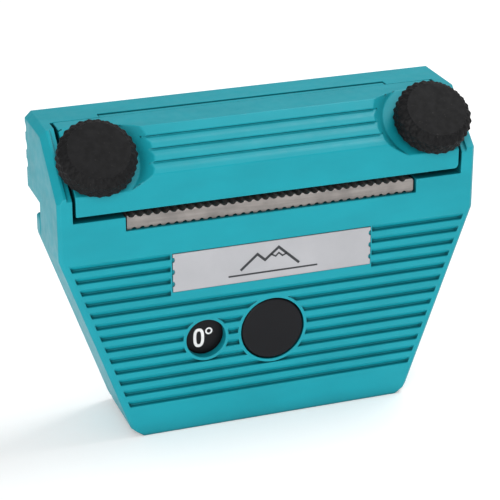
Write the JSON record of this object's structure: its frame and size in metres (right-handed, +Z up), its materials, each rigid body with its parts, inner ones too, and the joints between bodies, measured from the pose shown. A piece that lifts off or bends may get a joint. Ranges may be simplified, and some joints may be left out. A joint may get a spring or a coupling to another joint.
{
  "type": "side edge file guide",
  "caption": "Hand-held ski edge tuning tool: trapezoid housing that clamps a short flat file under a hinged flap with thumb screws, with an angle dial and a tilting running plate.",
  "frame": {"origin": "middle of the housing's flat underside, halfway between the front face and the running face", "axes": "+X along the tool's long side, +Y from the ribbed front towards the ski, +Z up from the underside to the file and the knobs"},
  "size_m": [0.12, 0.0397, 0.0912],
  "materials": {
    "teal_plastic": "satin moulded ABS, teal",
    "black_plastic": "fine matt, black",
    "dial_plastic": "smooth satin, black with white numbers",
    "retainer_plastic": "plain moulded, black",
    "file_steel": "ground hardened steel, warm grey",
    "steel": "zinc-plated steel",
    "spring_steel": "drawn spring wire",
    "brass": "turned brass",
    "label_foil": "satin silver foil with a dark printed mountain sign"
  },
  "bodies": {
    "housing_body": {"housing": "teal_plastic", "flexure_web": "teal_plastic", "label_plate": "label_foil", "left_insert": "brass", "right_insert": "brass", "dial_retainer": "retainer_plastic", "retainer_screws": "steel", "guide_screws": "steel", "guide_springs": "spring_steel", "guide_pivot_pins": "steel"},
    "flap_body": {"clamp_flap": "teal_plastic"},
    "left_travel": {"left_washer": "steel"},
    "left_knob_body": {"left_knob": "black_plastic", "left_stud": "steel"},
    "right_travel": {"right_washer": "steel"},
    "right_knob_body": {"right_knob": "black_plastic", "right_stud": "steel"},
    "dial_body": {"angle_dial": "dial_plastic"},
    "guide_body": {"guide_plate": "teal_plastic", "cam_follower": "steel"},
    "file_body": {"file": "file_steel"}
  },
  "joints": [
    {"name": "left_screw_travel", "type": "slide", "parent": "housing_body", "child": "left_travel", "axis": [0, 0.6428, -0.766], "range_m": [-0.0008, 0.0008]},
    {"name": "left_knob_turn", "type": "hinge", "parent": "left_travel", "child": "left_knob_body", "pos_m": [-0.048, -0.00547, 0.07839], "axis": [0, 0.6428, -0.766], "range_deg": [-360, 360]},
    {"name": "right_screw_travel", "type": "slide", "parent": "housing_body", "child": "right_travel", "axis": [0, 0.6428, -0.766], "range_m": [-0.0008, 0.0008]},
    {"name": "right_knob_turn", "type": "hinge", "parent": "right_travel", "child": "right_knob_body", "pos_m": [0.048, -0.00547, 0.07839], "axis": [0, 0.6428, -0.766], "range_deg": [-360, 360]},
    {"name": "flap_clamp", "type": "hinge", "parent": "housing_body", "child": "flap_body", "pos_m": [0, 0.011, 0.0852], "axis": [1, 0, 0], "range_deg": [-2.8, 2.8]},
    {"name": "dial_turn", "type": "hinge", "parent": "housing_body", "child": "dial_body", "pos_m": [0, 0, 0.027], "axis": [0, 1, 0], "range_deg": [0, 120]},
    {"name": "guide_tilt", "type": "hinge", "parent": "housing_body", "child": "guide_body", "pos_m": [0, 0.0102, 0.0574], "axis": [1, 0, 0], "range_deg": [0, 3], "deforming": ["guide_springs"]},
    {"name": "file_slide", "type": "slide", "parent": "housing_body", "child": "file_body", "axis": [0, 1, 0], "range_m": [0, 0.03]}
  ],
  "couplings": [
    {"joint": "left_screw_travel", "follows": "left_knob_turn", "m_per_rad": 0.00012732},
    {"joint": "right_screw_travel", "follows": "left_knob_turn", "m_per_rad": 0.00012732},
    {"joint": "right_knob_turn", "follows": "left_knob_turn", "ratio": 1},
    {"joint": "flap_clamp", "follows": "left_knob_turn", "ratio": 0.0074908},
    {"joint": "guide_tilt", "follows": "dial_turn", "ratio": 0.025}
  ]
}
